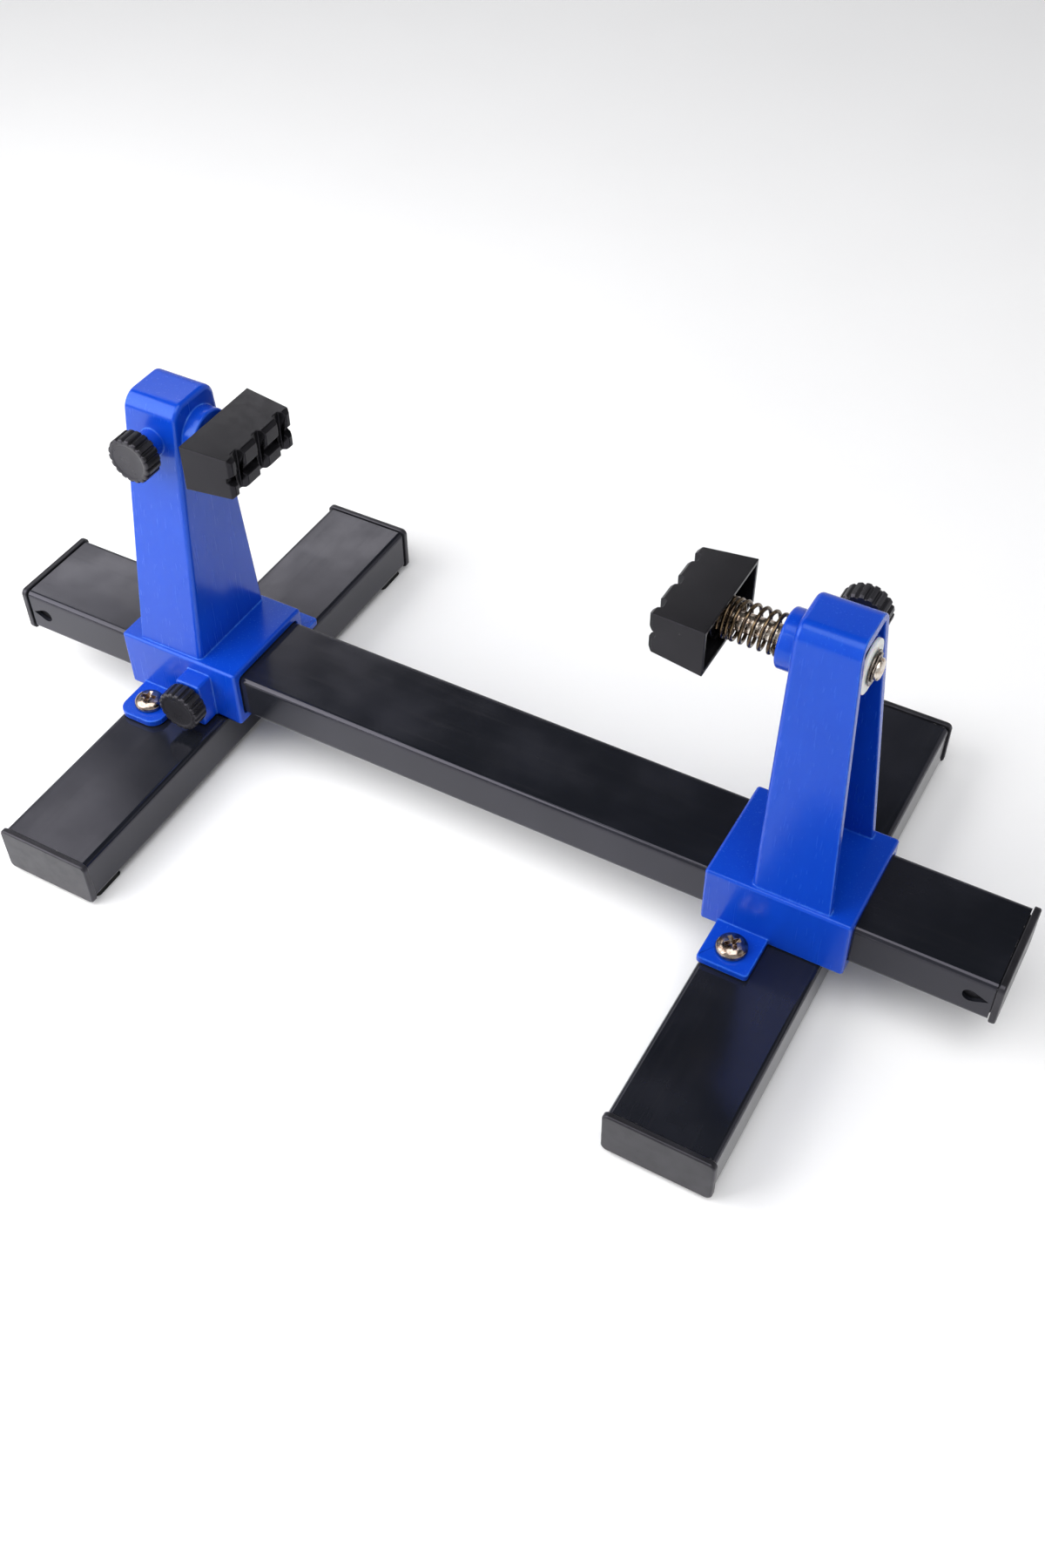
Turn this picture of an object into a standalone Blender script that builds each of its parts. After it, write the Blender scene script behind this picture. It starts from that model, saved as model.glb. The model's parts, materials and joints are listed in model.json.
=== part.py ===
"""PCB holder vise: two identical blue stands, turned to face each other, slide along a steel
rail. Each stands on its own cross foot and carries a jaw on a shaft that a thumb screw locks.
The right jaw is sprung. Millimetres below, metres in the scene, +Z up, floor at Z = 0."""

from math import cos, pi, sin

import bmesh
import bpy
from mathutils import Matrix, Vector

MM = 0.001
GAP = 0.3

# Steel tube, the same section for the rail and the feet
TUBE_W = 28.0
TUBE_H = 13.6
TUBE_WALL = 1.2
TUBE_CORNER = 1.6
RAIL_LENGTH = 300.0
FOOT_LENGTH = 162.0
PAD_H = 2.0
CAP_FLANGE = 1.8
CAP_PLUG = 9.0
CAP_PROUD = 0.6
LATCH_INSET = 6.0

# Levels
FOOT_TOP = PAD_H + TUBE_H
COLLAR_BOTTOM = FOOT_TOP + GAP
RAIL_BOTTOM = COLLAR_BOTTOM + 2.2
RAIL_TOP = RAIL_BOTTOM + TUBE_H
RAIL_MIDDLE = RAIL_BOTTOM + TUBE_H / 2
COLLAR_TOP = RAIL_TOP + GAP + 2.4
HEAD_TOP = 113.4
SHAFT_Z = 102.3

# Stand, in its own frame: +U points to the other stand, +V is to its left, origin on the rail
LEFT_X = -90.5
RIGHT_X = 92.5
COLLAR_HALF_U = 19.5
COLLAR_HALF_V = 16.5
BASE_OUTER_U = -13.3
BASE_INNER_U = 7.5
BASE_HALF_V = 15.2
TOP_OUTER_U = -7.2
TOP_INNER_U = 8.6
TOP_HALF_V = 8.0
WALL = 2.2
BOSS_R = 7.3
BOSS_FACE_U = 12.6
BOSS_BACK_U = -6.6
TAB_REACH_V = 30.0
TAB_T = 2.0
TAB_W = 14.0
TAB_U = 7.5
TAB_SCREW_V = 23.6
BLOCK_U = 7.0
BLOCK_FRONT_V = 22.2
HEAD_KNOB_U = 0.4
HEAD_KNOB_BACK_V = 13.5
SCREW_BOSS_R = 3.6

# Jaw and its shaft
JAW_DEPTH = 14.4
JAW_BACK = (29.0, 13.0)
JAW_FRONT = (26.2, 11.4)
JAW_WALL = 1.1
JAW_SEAT = 2.2
JAW_POCKET = 10.2
NOTCH_PITCH = 9.0
NOTCH_MOUTH = 4.0
NOTCH_FLOOR = 2.4
NOTCH_DEPTH = 2.0
LEFT_JAW_U = 14.0
RIGHT_JAW_U = 26.1
SHAFT_R = 2.5
SHAFT_END_U = -10.3

# Spring
SPRING_R = 4.7
WIRE_R = 0.47
DEAD_TURNS = 3.0
OPEN_TURNS = 4.2
DEAD_PITCH = 1.15

# Screws
KNOB_R = 6.4
KNOB_T = 5.5
STUD_R = 1.9
SCREW_HEAD_R = 4.2
SCREW_HEAD_H = 2.6

for old in list(bpy.data.objects):
    bpy.data.objects.remove(old, do_unlink=True)


def principled(name, colour, roughness, metallic=0.0):
    material = bpy.data.materials.new(name)
    material.use_nodes = True
    shader = material.node_tree.nodes["Principled BSDF"]
    shader.inputs["Base Color"].default_value = (*colour, 1.0)
    shader.inputs["Roughness"].default_value = roughness
    shader.inputs["Metallic"].default_value = metallic
    return material


BLUE = principled("blue_plastic", (0.015, 0.07, 0.62), 0.3)
PAINTED = principled("black_paint", (0.016, 0.017, 0.022), 0.32)
BLACK = principled("black_plastic", (0.02, 0.02, 0.022), 0.5)
RUBBER = principled("rubber", (0.02, 0.02, 0.02), 0.85)
NICKEL = principled("nickel_steel", (0.55, 0.5, 0.44), 0.25, 1.0)
SPRING_STEEL = principled("spring_steel", (0.4, 0.33, 0.25), 0.3, 1.0)
NYLON = principled("white_nylon", (0.85, 0.85, 0.83), 0.45)

# Outlines, as lists of (a, b) points, anticlockwise


def circle(radius, count, turn=0.0):
    angles = [turn + 2 * pi * i / count for i in range(count)]
    return [(radius * cos(a), radius * sin(a)) for a in angles]


def rounded(width, height, corner, steps=4):
    points = []
    for quarter, (side, up) in enumerate(((1, 1), (-1, 1), (-1, -1), (1, -1))):
        for step in range(steps + 1):
            angle = pi / 2 * (quarter + step / steps)
            a = side * (width / 2 - corner) + corner * cos(angle)
            b = up * (height / 2 - corner) + corner * sin(angle)
            points.append((a, b))
    return points


def fluted(radius, depth, flutes=18):
    """Round with shallow grooves: each lobe has a flat crest and a hollow between."""
    points = []
    hollow = radius - depth
    for flute in range(flutes):
        for share, r in ((0.0, radius), (0.45, radius), (0.6, hollow), (0.85, hollow)):
            angle = 2 * pi * (flute + share) / flutes
            points.append((r * cos(angle), r * sin(angle)))
    return points


# Meshes

ALONG = {
    "X": lambda a, b, h: (h, a, b),
    "Y": lambda a, b, h: (a, h, b),
    "Z": lambda a, b, h: (a, b, h),
}


def loft(rings, closed=False):
    """Mesh through rings of equally many points. Open ends are capped, or the rings close on
    themselves."""
    bm = bmesh.new()
    rows = [[bm.verts.new(Vector(p) * MM) for p in ring] for ring in rings]
    pairs = list(zip(rows, rows[1:]))
    if closed:
        pairs.append((rows[-1], rows[0]))
    else:
        bm.faces.new(rows[0])
        bm.faces.new(rows[-1])
    for low, high in pairs:
        for i in range(len(low)):
            j = (i + 1) % len(low)
            bm.faces.new((low[i], low[j], high[j], high[i]))
    bmesh.ops.recalc_face_normals(bm, faces=bm.faces)
    if bm.calc_volume(signed=True) < 0:
        bmesh.ops.reverse_faces(bm, faces=bm.faces)
    mesh = bpy.data.meshes.new("piece")
    bm.to_mesh(mesh)
    bm.free()
    return mesh


def stack(sections, axis="Z", centre=(0.0, 0.0)):
    """Solid through outlines at given heights: sections is [(outline, height), ...]."""
    place = ALONG[axis]
    return loft(
        [[place(a + centre[0], b + centre[1], h) for a, b in outline] for outline, h in sections]
    )


def prism(outline, low, high, axis="Z", centre=(0.0, 0.0)):
    return stack([(outline, low), (outline, high)], axis, centre)


def turned(profile, axis="Z", centre=(0.0, 0.0), count=36):
    """Round solid from [(radius, height), ...]."""
    return stack([(circle(r, count), h) for r, h in profile], axis, centre)


def pipe(outer, inner, low, high, axis):
    """Tube between two outlines of equally many points."""
    place = ALONG[axis]
    corners = ((outer, low), (outer, high), (inner, high), (inner, low))
    return loft([[place(a, b, h) for a, b in outline] for outline, h in corners], closed=True)


def block(low, high):
    (x0, y0, z0), (x1, y1, z1) = low, high
    return prism([(x0, y0), (x1, y0), (x1, y1), (x0, y1)], z0, z1)


def bevelled(mesh, wanted, width, segments):
    """Rounds the edges for which wanted(middle, direction) is true, both in millimetres."""
    bm = bmesh.new()
    bm.from_mesh(mesh)
    chosen = []
    for edge in bm.edges:
        start, end = (v.co / MM for v in edge.verts)
        if wanted((start + end) / 2, (end - start).normalized()):
            chosen.append(edge)
    bmesh.ops.bevel(
        bm, geom=chosen, offset=width * MM, segments=segments, profile=0.5, affect="EDGES"
    )
    bm.to_mesh(mesh)
    bm.free()
    return mesh


def combined(base, *steps):
    """The base mesh after each (operation, mesh) Boolean in turn."""
    holder = bpy.data.objects.new("base", base)
    bpy.context.scene.collection.objects.link(holder)
    helpers = []
    for operation, mesh in steps:
        helper = bpy.data.objects.new("helper", mesh)
        bpy.context.scene.collection.objects.link(helper)
        helpers.append(helper)
        modifier = holder.modifiers.new(operation, "BOOLEAN")
        modifier.operation = operation
        modifier.solver = "EXACT"
        modifier.object = helper
    graph = bpy.context.evaluated_depsgraph_get()
    result = bpy.data.meshes.new_from_object(holder.evaluated_get(graph))
    for temporary in (holder, *helpers):
        bpy.data.objects.remove(temporary, do_unlink=True)
    result.materials.clear()
    return result


def cut(*meshes):
    return [("DIFFERENCE", mesh) for mesh in meshes]


def add(*meshes):
    return [("UNION", mesh) for mesh in meshes]


def piece(name, mesh, material, origin=(0.0, 0.0, 0.0), stand_x=None, turned_round=False):
    """One named sub-part. The origin is in the mesh's own frame, and lies on its joint axis."""
    mesh = mesh.copy()
    mesh.name = name
    mesh.transform(Matrix.Translation(Vector(origin) * -MM))
    mesh.materials.append(material)
    mesh.polygons.foreach_set("use_smooth", [True] * len(mesh.polygons))
    mesh.set_sharp_from_angle(angle=0.6)
    part = bpy.data.objects.new(name, mesh)
    bpy.context.scene.collection.objects.link(part)
    frame = Matrix.Translation((((stand_x or 0.0) * MM), 0, 0))
    if turned_round:
        frame = frame @ Matrix.Rotation(pi, 4, "Z")
    part.matrix_world = frame @ Matrix.Translation(Vector(origin) * MM)
    return part


# Tubes, caps and pads

TUBE_OUTLINE = rounded(TUBE_W, TUBE_H, TUBE_CORNER)
TUBE_BORE = rounded(TUBE_W - 2 * TUBE_WALL, TUBE_H - 2 * TUBE_WALL, TUBE_CORNER - TUBE_WALL)
PLUG_OUTLINE = rounded(
    TUBE_W - 2 * TUBE_WALL - 2 * GAP, TUBE_H - 2 * TUBE_WALL - 2 * GAP, 0.4
)


def tube(length, middle_z, axis):
    """Hollow tube whose ends leave room for the flange of a cap."""
    half = length / 2 - CAP_FLANGE - GAP
    mesh = pipe(TUBE_OUTLINE, TUBE_BORE, -half, half, axis)
    mesh.transform(Matrix.Translation((0, 0, middle_z * MM)))
    return mesh


def cap(length, end, middle_z, axis, latched):
    """Plastic end cap: a flange a little larger than the tube, and a plug inside it."""
    outer = length / 2
    inner = outer - CAP_FLANGE
    flange = rounded(TUBE_W + 2 * CAP_PROUD, TUBE_H + 2 * CAP_PROUD, TUBE_CORNER)
    rim = rounded(TUBE_W, TUBE_H, TUBE_CORNER - 0.4)
    sections = [
        (rim, end * outer),
        (flange, end * (outer - 0.6)),
        (flange, end * inner),
        (PLUG_OUTLINE, end * inner),
        (PLUG_OUTLINE, end * (inner - CAP_PLUG)),
    ]
    mesh = stack(sections, axis, (0.0, middle_z))
    if not latched:
        return mesh
    centre = (end * (outer - LATCH_INSET), middle_z)
    reach = TUBE_W / 2 - 0.4
    return combined(mesh, *add(turned([(1.5, -reach), (1.5, reach)], "Y", centre, 16)))


def rail():
    mesh = tube(RAIL_LENGTH, RAIL_MIDDLE, "X")
    inset = RAIL_LENGTH / 2 - LATCH_INSET
    drills = [
        turned([(2.1, -TUBE_W), (2.1, TUBE_W)], "Y", (end * inset, RAIL_MIDDLE), 20)
        for end in (-1, 1)
    ]
    return combined(mesh, *cut(*drills))


# Stand


def upright_outline(z, inset=0.0):
    """Section of the tapered upright at a level: outer U, inner U and half its depth in V."""
    share = (z - COLLAR_TOP) / (HEAD_TOP - COLLAR_TOP)
    outer = BASE_OUTER_U + share * (TOP_OUTER_U - BASE_OUTER_U)
    inner = BASE_INNER_U + share * (TOP_INNER_U - BASE_INNER_U) - inset
    half = BASE_HALF_V + share * (TOP_HALF_V - BASE_HALF_V) - inset
    return outer, inner, half


def tapered(bottom, top, inset=0.0, open_by=0.0):
    """Solid between two levels of the upright. open_by carries it past the outer side."""
    rings = []
    for z in (bottom, top):
        outer, inner, half = upright_outline(z, inset)
        outer -= open_by
        rings.append([(outer, -half, z), (inner, -half, z), (inner, half, z), (outer, half, z)])
    return loft(rings)


def shaft_hole(radius, low, high, count=32):
    return turned([(radius, low), (radius, high)], "X", (0.0, SHAFT_Z), count)


def stand():
    upright = tapered(COLLAR_BOTTOM + 8, HEAD_TOP)
    upright = bevelled(upright, lambda m, d: m.z > HEAD_TOP - 0.1 and abs(d.x) > 0.9, 4.0, 4)
    upright = bevelled(upright, lambda m, d: m.x > 7 and abs(d.x) < 0.5 and m.z > 60, 1.4, 2)
    pocket = tapered(COLLAR_TOP - 1, HEAD_TOP - 2.6, WALL, 12.0)
    pocket = bevelled(pocket, lambda m, d: m.x > 4 and m.z > 40 and abs(d.z) > 0.9, 1.0, 2)
    collar = block(
        (-COLLAR_HALF_U, -COLLAR_HALF_V, COLLAR_BOTTOM), (COLLAR_HALF_U, COLLAR_HALF_V, COLLAR_TOP)
    )
    collar = bevelled(collar, lambda m, d: m.z > COLLAR_BOTTOM + 0.1, 0.9, 2)
    passage = prism(
        rounded(TUBE_W + 2 * GAP, TUBE_H + 2 * GAP, TUBE_CORNER), -30, 30, "X", (0.0, RAIL_MIDDLE)
    )
    head_boss = turned(
        [(BOSS_R, BOSS_BACK_U), (BOSS_R, BOSS_FACE_U - 0.6), (BOSS_R - 0.6, BOSS_FACE_U)],
        "X",
        (0.0, SHAFT_Z),
    )
    screw_boss = turned(
        [(SCREW_BOSS_R, GAP - HEAD_KNOB_BACK_V), (SCREW_BOSS_R, -6.0)], "Y", (HEAD_KNOB_U, SHAFT_Z), 32
    )
    screw_block = block(
        (BLOCK_U - 4, -BLOCK_FRONT_V, COLLAR_BOTTOM + 0.2), (BLOCK_U + 4, -COLLAR_HALF_V + 1.5, 31.0)
    )
    screw_block = bevelled(screw_block, lambda m, d: m.y < -17, 0.8, 2)
    tabs = []
    for side in (-1, 1):
        tab = block(
            (TAB_U - TAB_W / 2, COLLAR_HALF_V - 1.5, COLLAR_BOTTOM),
            (TAB_U + TAB_W / 2, TAB_REACH_V, COLLAR_BOTTOM + TAB_T),
        )
        corner = 4.0 if side < 0 else 1.0
        tab = bevelled(tab, lambda m, d: m.y > 29 and abs(d.z) > 0.9, corner, 4)
        if side < 0:
            tab.transform(Matrix.Rotation(pi, 4, "Z"))
        tabs.append(tab)
    drills = [
        turned([(2.3, 0), (2.3, 30)], "Z", (side * TAB_U, side * TAB_SCREW_V), 20)
        for side in (-1, 1)
    ]
    head_drill = turned([(2.2, -30), (2.2, 0)], "Y", (HEAD_KNOB_U, SHAFT_Z), 20)
    base_drill = turned([(2.2, -30), (2.2, -10)], "Y", (BLOCK_U, RAIL_MIDDLE), 20)
    return combined(
        upright,
        *cut(pocket),
        *add(head_boss, screw_boss, collar, screw_block, *tabs),
        *cut(passage, shaft_hole(2.8, -20, 20), head_drill, base_drill, *drills),
    )


# Jaw: tapers to a V-grooved front with three notches across, hollow behind, with a seat for
# the spring


def jaw_section(back_u, depth, inset=0.0):
    """Rectangle of the tapering jaw at a depth from its back rim, as points round it."""
    share = depth / JAW_DEPTH
    half_v, half_z = (
        (back + share * (front - back)) / 2 - inset for back, front in zip(JAW_BACK, JAW_FRONT)
    )
    corners = ((-half_v, -half_z), (half_v, -half_z), (half_v, half_z), (-half_v, half_z))
    return [(back_u + depth, v, SHAFT_Z + z) for v, z in corners]


def jaw(back_u):
    front = back_u + JAW_DEPTH
    body = loft(
        [
            jaw_section(back_u, 0.0),
            jaw_section(back_u, JAW_DEPTH - 1.0),
            jaw_section(back_u, JAW_DEPTH, 0.8),
        ]
    )
    pocket = loft(
        [jaw_section(back_u, -1.0, JAW_WALL), jaw_section(back_u, JAW_POCKET, JAW_WALL)]
    )
    hub = turned(
        [(5.9, back_u + JAW_SEAT), (5.9, back_u + JAW_POCKET + 0.5)], "X", (0.0, SHAFT_Z), 32
    )
    groove = prism(
        [
            (front - 1.9, SHAFT_Z - 0.9),
            (front + 1.0, SHAFT_Z - 2.5),
            (front + 1.0, SHAFT_Z + 1.7),
            (front - 1.9, SHAFT_Z + 0.1),
        ],
        -20,
        20,
        "Y",
    )
    floor = NOTCH_FLOOR / 2
    mouth = floor + (NOTCH_MOUTH / 2 - floor) * (1 + 1 / NOTCH_DEPTH)
    outline = [
        (front - NOTCH_DEPTH, -floor),
        (front + 1, -mouth),
        (front + 1, mouth),
        (front - NOTCH_DEPTH, floor),
    ]
    notches = [
        prism(outline, SHAFT_Z - 10, SHAFT_Z + 10, centre=(0.0, i * NOTCH_PITCH))
        for i in (-1, 0, 1)
    ]
    bore = shaft_hole(SHAFT_R + GAP, back_u - 1, front - 4.0)
    return combined(body, *cut(pocket), *add(hub), *cut(groove, *notches, bore))


def shaft(back_u):
    """Runs from inside the jaw, through the head, to its riveted end."""
    tip = back_u + JAW_DEPTH - 4.3
    profile = [
        (2.0, SHAFT_END_U),
        (2.7, SHAFT_END_U + 0.5),
        (2.7, SHAFT_END_U + 1.1),
        (1.8, SHAFT_END_U + 1.1),
        (1.8, -8.1),
        (SHAFT_R, -8.1),
        (SHAFT_R, tip - 0.4),
        (SHAFT_R - 0.4, tip),
    ]
    return turned(profile, "X", (0.0, SHAFT_Z), 28)


def washer(outer_r, inner_r, low, high):
    mesh = pipe(circle(outer_r, 36), circle(inner_r, 36), low, high, "X")
    mesh.transform(Matrix.Translation((0, 0, SHAFT_Z * MM)))
    return mesh


def spring():
    """Coil round the shaft, closed at the jaw and open towards the boss on the head."""
    start = RIGHT_JAW_U + JAW_SEAT - GAP - WIRE_R
    end = BOSS_FACE_U + GAP + WIRE_R
    turns = DEAD_TURNS + OPEN_TURNS + 0.8
    pitch = (start - end - (DEAD_TURNS + 0.8) * DEAD_PITCH) / OPEN_TURNS
    per_turn = 24
    rings = []
    u = start
    for i in range(int(turns * per_turn) + 1):
        angle = 2 * pi * i / per_turn
        outward = Vector((0, cos(angle), sin(angle)))
        centre = Vector((u, 0, SHAFT_Z)) + outward * SPRING_R
        ring = [centre + (outward * a + Vector((b, 0, 0))) for a, b in circle(WIRE_R, 6)]
        rings.append(ring)
        turn = i / per_turn
        step = pitch if DEAD_TURNS <= turn < DEAD_TURNS + OPEN_TURNS else DEAD_PITCH
        u -= step / per_turn
    return loft(rings)


# Thumb screws along V, tab screws along Z


def knob(u, z, back_v):
    """Fluted plastic head round the end of its stud, with a socket behind."""
    front = back_v + KNOB_T
    crest = fluted(KNOB_R, 0.55)
    eased = fluted(KNOB_R - 0.5, 0.4)
    sections = [(eased, -back_v), (crest, -back_v - 0.5), (crest, -front + 0.6), (eased, -front)]
    dish = stack([(circle(4.4, 32), -front - 1), (circle(4.4, 32), -front + 0.4)], "Y", (u, z))
    socket = turned([(2.2, -back_v - 4.0), (2.2, -back_v + 1)], "Y", (u, z), 24)
    return combined(stack(sections, "Y", (u, z)), *cut(dish, socket))


def stud(u, z, back_v, tip_v):
    """Steel screw whose head end sits in the knob and whose tip presses on what it locks."""
    head = -back_v - 3.6
    profile = [(STUD_R, head), (STUD_R, -tip_v - 0.5), (STUD_R - 0.5, -tip_v)]
    return turned(profile, "Y", (u, z), 20)


def tab_screw():
    """Pan-head screw with a cross recess, through the tab into the top of the foot."""
    seat = COLLAR_BOTTOM + TAB_T + GAP
    crown = seat + SCREW_HEAD_H
    profile = [
        (1.3, FOOT_TOP - 6.0),
        (1.9, FOOT_TOP - 4.8),
        (1.9, seat),
        (SCREW_HEAD_R, seat),
        (SCREW_HEAD_R, seat + 0.7),
        (SCREW_HEAD_R - 0.45, seat + 1.5),
        (SCREW_HEAD_R - 1.3, seat + 2.2),
        (1.6, crown),
    ]
    slots = [
        block((-a, -b, crown - 1.3), (a, b, crown + 1)) for a, b in ((2.2, 0.5), (0.5, 2.2))
    ]
    return combined(turned(profile, count=28), *cut(*slots))


def foot():
    """Cross foot along Y with two pilot holes in its top wall."""
    mesh = tube(FOOT_LENGTH, PAD_H + TUBE_H / 2, "Y")
    drills = [
        turned([(2.2, FOOT_TOP - 3), (2.2, FOOT_TOP + 1)], "Z", (side * TAB_U, side * TAB_SCREW_V), 20)
        for side in (-1, 1)
    ]
    return combined(mesh, *cut(*drills))


def pad():
    """Rubber strip under the foot, a gap below the steel."""
    outline = rounded(TUBE_W - 2.0, 10.5, 1.5)
    return stack([(outline, 0.0), (outline, PAD_H - GAP)])


piece("rail_tube", rail(), PAINTED)
for side, end in (("left", -1), ("right", 1)):
    piece(f"rail_cap_{side}", cap(RAIL_LENGTH, end, RAIL_MIDDLE, "X", True), BLACK)

STAND = stand()
FOOT = foot()
FOOT_CAPS = [cap(FOOT_LENGTH, end, PAD_H + TUBE_H / 2, "Y", False) for end in (-1, 1)]
PAD = pad()
SCREW = tab_screw()
NYLON_WASHER = washer(6.6, SHAFT_R + GAP, BOSS_BACK_U - 1.3, BOSS_BACK_U - GAP)
STEEL_WASHER = washer(4.3, 2.1, SHAFT_END_U + 1.35, SHAFT_END_U + 2.05)
HEAD_KNOB = knob(HEAD_KNOB_U, SHAFT_Z, HEAD_KNOB_BACK_V)
HEAD_STUD = stud(HEAD_KNOB_U, SHAFT_Z, HEAD_KNOB_BACK_V, SHAFT_R + GAP)
BASE_KNOB = knob(BLOCK_U, RAIL_MIDDLE, BLOCK_FRONT_V + GAP)
BASE_STUD = stud(BLOCK_U, RAIL_MIDDLE, BLOCK_FRONT_V + GAP, TUBE_W / 2 + GAP)
HEAD_SCREW_AXIS = (HEAD_KNOB_U, 0.0, SHAFT_Z)
BASE_SCREW_AXIS = (BLOCK_U, 0.0, RAIL_MIDDLE)
SHAFT_AXIS = (0.0, 0.0, SHAFT_Z)

for side, x, turned_round, jaw_u in (
    ("left", LEFT_X, False, LEFT_JAW_U),
    ("right", RIGHT_X, True, RIGHT_JAW_U),
):
    on_stand = {"stand_x": x, "turned_round": turned_round}
    piece(f"{side}_stand", STAND, BLUE, **on_stand)
    piece(f"{side}_foot_tube", FOOT, PAINTED, **on_stand)
    for end, (word, cap_mesh) in zip((-1, 1), zip(("knob", "far"), FOOT_CAPS)):
        piece(f"{side}_foot_cap_{word}_side", cap_mesh, BLACK, **on_stand)
        spot = PAD.copy()
        spot.transform(Matrix.Translation((0, end * 72.5 * MM, 0)))
        piece(f"{side}_pad_{word}_side", spot, RUBBER, **on_stand)
        driven = SCREW.copy()
        driven.transform(Matrix.Translation((end * TAB_U * MM, end * TAB_SCREW_V * MM, 0)))
        piece(f"{side}_tab_screw_{word}_side", driven, NICKEL, **on_stand)
    piece(f"{side}_jaw", jaw(jaw_u), BLACK, SHAFT_AXIS, **on_stand)
    piece(f"{side}_jaw_shaft", shaft(jaw_u), NICKEL, SHAFT_AXIS, **on_stand)
    piece(f"{side}_nylon_washer", NYLON_WASHER, NYLON, SHAFT_AXIS, **on_stand)
    piece(f"{side}_steel_washer", STEEL_WASHER, NICKEL, SHAFT_AXIS, **on_stand)
    piece(f"{side}_head_knob", HEAD_KNOB, BLACK, HEAD_SCREW_AXIS, **on_stand)
    piece(f"{side}_head_stud", HEAD_STUD, NICKEL, HEAD_SCREW_AXIS, **on_stand)
    piece(f"{side}_base_knob", BASE_KNOB, BLACK, BASE_SCREW_AXIS, **on_stand)
    piece(f"{side}_base_stud", BASE_STUD, NICKEL, BASE_SCREW_AXIS, **on_stand)

piece("right_spring", spring(), SPRING_STEEL, SHAFT_AXIS, RIGHT_X, True)
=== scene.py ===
"""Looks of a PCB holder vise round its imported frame: glossy blue mouldings on black painted
tube, black plastic jaws, caps and knobs, plated screws and a bronze spring. Shapes are in
millimetres, in the frame of the stand they belong to, and the scene is in metres."""

import json
from math import atan2, cos, pi, sin, sqrt

import bmesh
import bpy
from mathutils import Matrix, Vector

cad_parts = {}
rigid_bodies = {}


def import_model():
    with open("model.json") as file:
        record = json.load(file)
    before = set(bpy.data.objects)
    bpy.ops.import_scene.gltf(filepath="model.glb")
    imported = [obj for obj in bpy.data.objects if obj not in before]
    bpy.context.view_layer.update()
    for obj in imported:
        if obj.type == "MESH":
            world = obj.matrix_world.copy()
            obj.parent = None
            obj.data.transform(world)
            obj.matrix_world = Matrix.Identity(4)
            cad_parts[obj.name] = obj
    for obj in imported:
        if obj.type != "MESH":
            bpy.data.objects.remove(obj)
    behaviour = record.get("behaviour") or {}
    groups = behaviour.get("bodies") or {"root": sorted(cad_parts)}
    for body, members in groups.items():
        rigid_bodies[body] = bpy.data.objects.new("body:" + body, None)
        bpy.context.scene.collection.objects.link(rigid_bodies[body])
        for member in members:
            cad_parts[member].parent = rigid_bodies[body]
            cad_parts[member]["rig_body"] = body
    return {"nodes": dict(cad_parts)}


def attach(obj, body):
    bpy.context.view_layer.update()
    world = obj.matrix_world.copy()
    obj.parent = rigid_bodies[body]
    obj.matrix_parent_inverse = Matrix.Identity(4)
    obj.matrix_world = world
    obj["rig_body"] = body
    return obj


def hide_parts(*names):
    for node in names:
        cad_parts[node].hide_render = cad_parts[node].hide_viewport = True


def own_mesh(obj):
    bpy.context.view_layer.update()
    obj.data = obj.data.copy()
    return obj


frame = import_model()

for left_over in [o for o in bpy.data.objects if not (o.get("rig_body") or o.name.startswith("body:"))]:
    bpy.data.objects.remove(left_over, do_unlink=True)
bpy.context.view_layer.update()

MM = 0.001
GAP = 0.3

TUBE_W, TUBE_H, TUBE_WALL, TUBE_CORNER = 28.0, 13.6, 1.2, 1.6
RAIL_LENGTH, FOOT_LENGTH = 300.0, 162.0
PAD_H, PAD_W, PAD_CORNER, PAD_EASE, PAD_V = 2.0, 10.5, 1.5, 0.5, 72.5
CAP_FLANGE, CAP_PLUG, CAP_PROUD, CAP_RIM, LATCH_INSET = 1.8, 9.0, 0.6, 0.6, 6.0
FOOT_TOP = PAD_H + TUBE_H
COLLAR_BOTTOM = FOOT_TOP + GAP
RAIL_BOTTOM = COLLAR_BOTTOM + 2.2
RAIL_MIDDLE = RAIL_BOTTOM + TUBE_H / 2
COLLAR_TOP = RAIL_BOTTOM + TUBE_H + GAP + 2.4
HEAD_TOP, SHAFT_Z = 113.4, 102.3
LEFT_X, RIGHT_X = -90.5, 92.5
COLLAR_HALF_U, COLLAR_HALF_V = 19.5, 16.5
BASE_OUTER_U, BASE_INNER_U, BASE_HALF_V = -13.3, 7.5, 15.2
TOP_OUTER_U, TOP_INNER_U, TOP_HALF_V = -7.2, 8.6, 8.0
WALL, BOSS_R, BOSS_FACE_U, BOSS_BACK_U = 2.2, 7.3, 12.6, -6.6
TAB_REACH_V, TAB_T, TAB_W, TAB_U, TAB_SCREW_V = 30.0, 2.0, 14.0, 7.5, 23.6
KNOB_SIDE_TAB_CORNER, FAR_SIDE_TAB_CORNER = 4.0, 1.0
BLOCK_U, BLOCK_HALF_U, BLOCK_FRONT_V, BLOCK_TOP = 7.0, 4, 22.2, 31.0
HEAD_KNOB_U, HEAD_KNOB_BACK_V, SCREW_BOSS_R = 0.4, 13.5, 3.6
HEAD_CORNER, UPRIGHT_EDGE, POCKET_EDGE, COLLAR_EDGE, BLOCK_EDGE, BOSS_EASE = 4.0, 1.4, 1.0, 0.9, 0.8, 0.7
SHAFT_BORE_R, SCREW_BORE_R, TAB_BORE_R = 2.8, 2.2, 2.3
JAW_DEPTH, JAW_BACK, JAW_FRONT = 14.4, (29.0, 13.0), (26.2, 11.4)
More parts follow.
